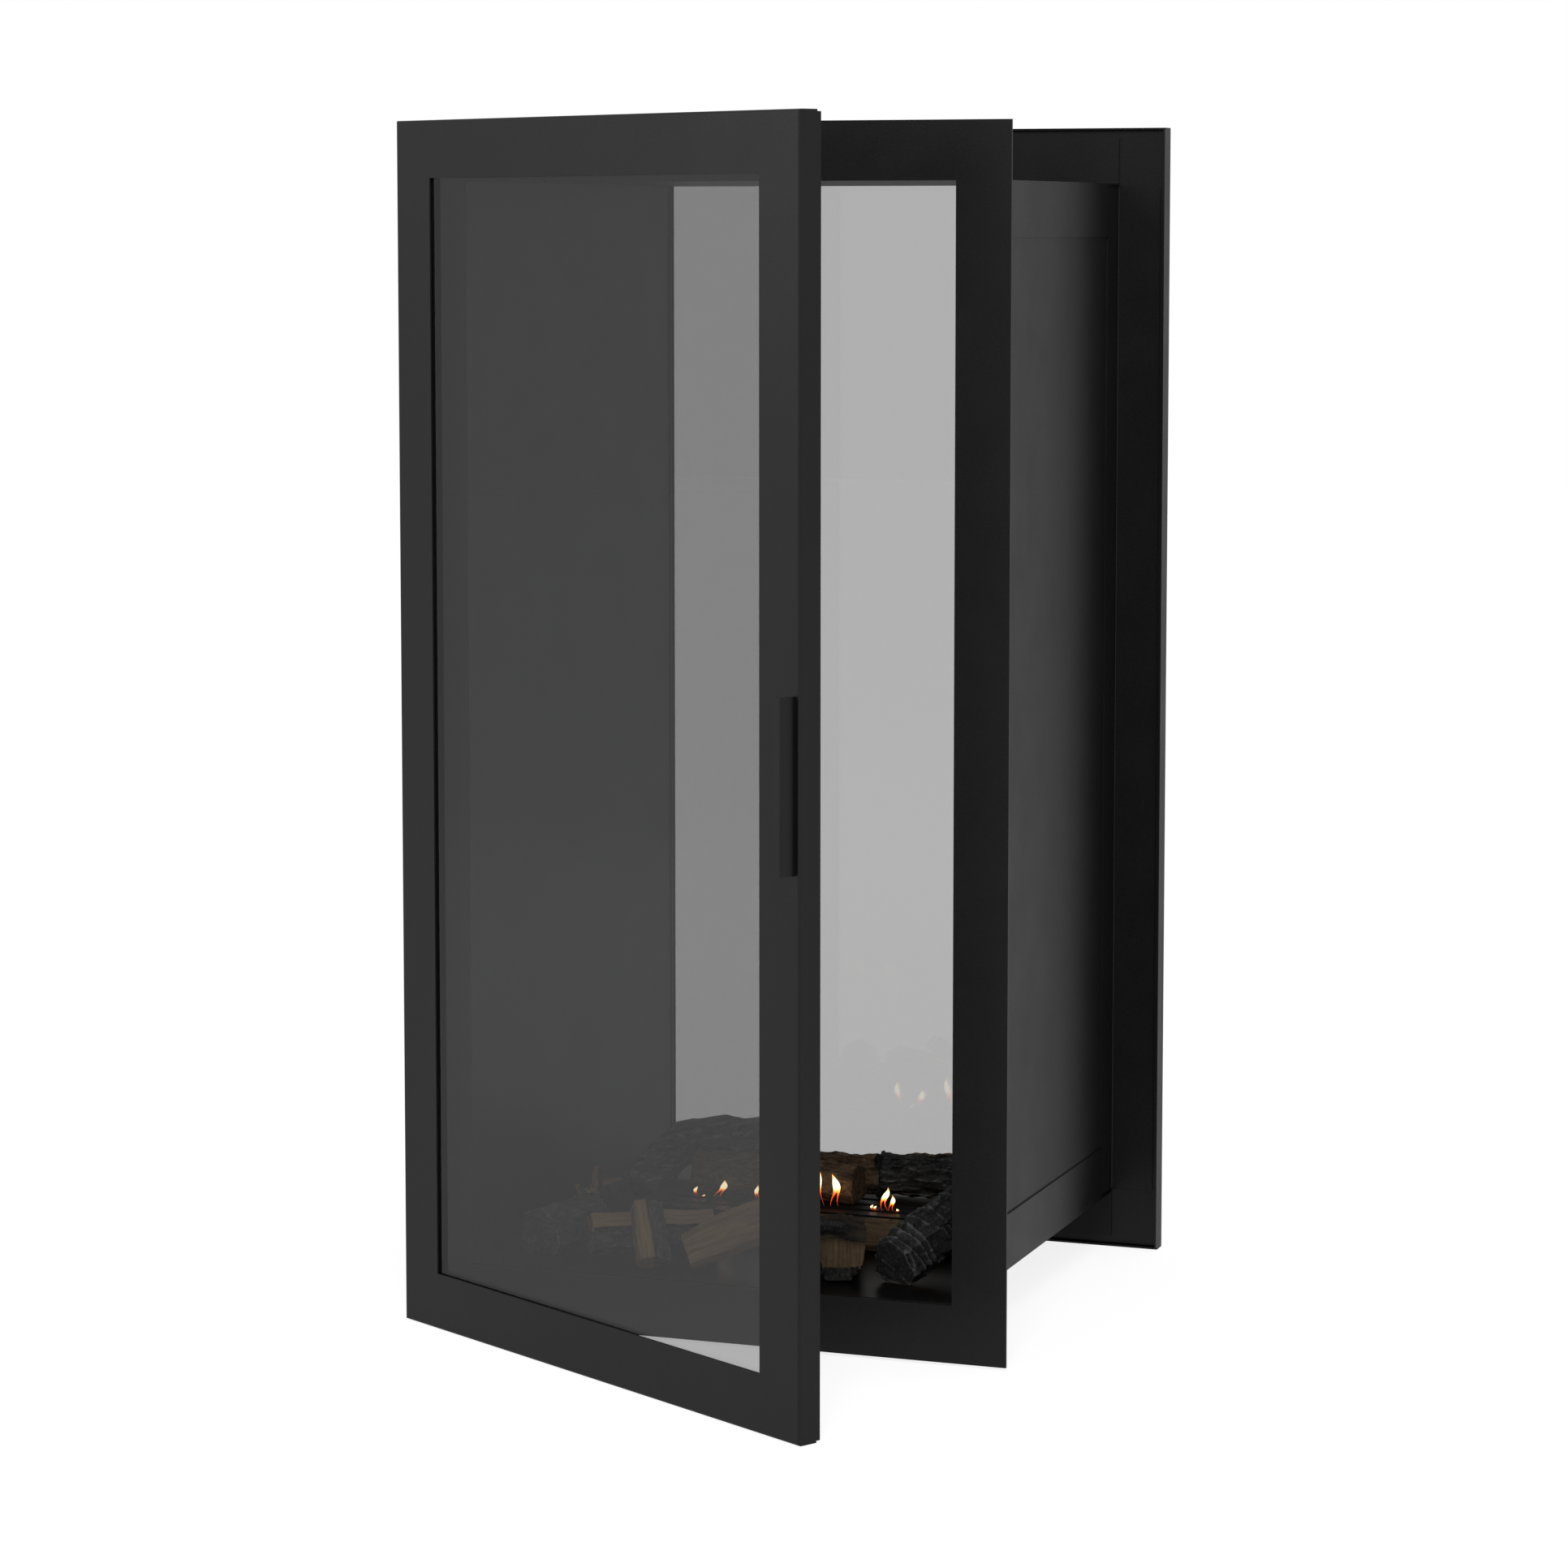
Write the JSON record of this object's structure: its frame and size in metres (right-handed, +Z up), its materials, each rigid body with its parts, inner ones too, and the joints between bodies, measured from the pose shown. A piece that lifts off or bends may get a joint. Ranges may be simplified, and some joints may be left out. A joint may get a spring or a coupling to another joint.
{
  "type": "bioethanol fireplace",
  "caption": "Tall built-in see-through bioethanol fireplace: black steel casing with glazed pan doors at front and rear, slotted burner with slide, and ceramic logs.",
  "frame": {"origin": "centre of the casing's underside, on the face that stands in the wall's opening", "axes": "+X to the right seen from the front, +Y from the front door to the rear door, +Z up"},
  "size_m": [0.6754, 0.9765, 1.281],
  "materials": {
    "black_coat": "satin powder coat",
    "tinted_glass": "grey tinted, polished",
    "gasket_tape": "black woven heat tape",
    "plain_steel": "zinc plated",
    "burner_steel": "black heat paint",
    "fibre": "matt felt",
    "bark": "matt, bark relief",
    "wood": "matt, split grain",
    "char": "matt, charred"
  },
  "bodies": {
    "casing": {"base_tray": "black_coat", "top_tray": "black_coat", "left_side_panel": "black_coat", "right_side_panel": "black_coat", "front_left_angle": "black_coat", "front_right_angle": "black_coat", "rear_left_angle": "black_coat", "rear_right_angle": "black_coat", "front_frame": "black_coat", "rear_frame": "black_coat", "front_hinge_brackets": "black_coat", "rear_hinge_brackets": "black_coat", "front_hinge_pins": "plain_steel", "rear_hinge_pins": "plain_steel", "burner_tank": "burner_steel", "burner_top": "burner_steel", "burner_fibre": "fibre", "left_log": "bark", "cross_left_log": "bark", "side_log": "bark", "bent_log": "bark", "leaning_log": "bark", "centre_left_log": "wood", "centre_log": "wood", "cross_right_log": "wood", "burner_log": "wood", "back_log": "wood", "right_log": "char", "charred_log": "char", "charred_chip": "char"},
    "burner_slide": {"burner_slide": "burner_steel"},
    "front_door": {"front_door_pan": "black_coat", "front_door_glass": "tinted_glass", "front_glass_gasket": "gasket_tape", "front_glass_retainer": "black_coat", "front_clamp_studs": "plain_steel", "front_pull_handle": "black_coat", "front_door_magnets": "plain_steel", "front_hinge_leaves": "black_coat"},
    "rear_door": {"rear_door_pan": "black_coat", "rear_door_glass": "tinted_glass", "rear_glass_gasket": "gasket_tape", "rear_glass_retainer": "black_coat", "rear_clamp_studs": "plain_steel", "rear_pull_handle": "black_coat", "rear_door_magnets": "plain_steel", "rear_hinge_leaves": "black_coat"}
  },
  "joints": [
    {"name": "front_door_hinge", "type": "hinge", "parent": "casing", "child": "front_door", "pos_m": [-0.326, -0.2775, 0], "axis": [0, 0, -1], "range_deg": [-30.5, 79.5]},
    {"name": "rear_door_hinge", "type": "hinge", "parent": "casing", "child": "rear_door", "pos_m": [-0.326, 0.2775, 0], "axis": [0, 0, 1], "range_deg": [0, 110]},
    {"name": "burner_slide_travel", "type": "slide", "parent": "casing", "child": "burner_slide", "axis": [0, 1, 0], "range_m": [0, 0.0135]}
  ]
}
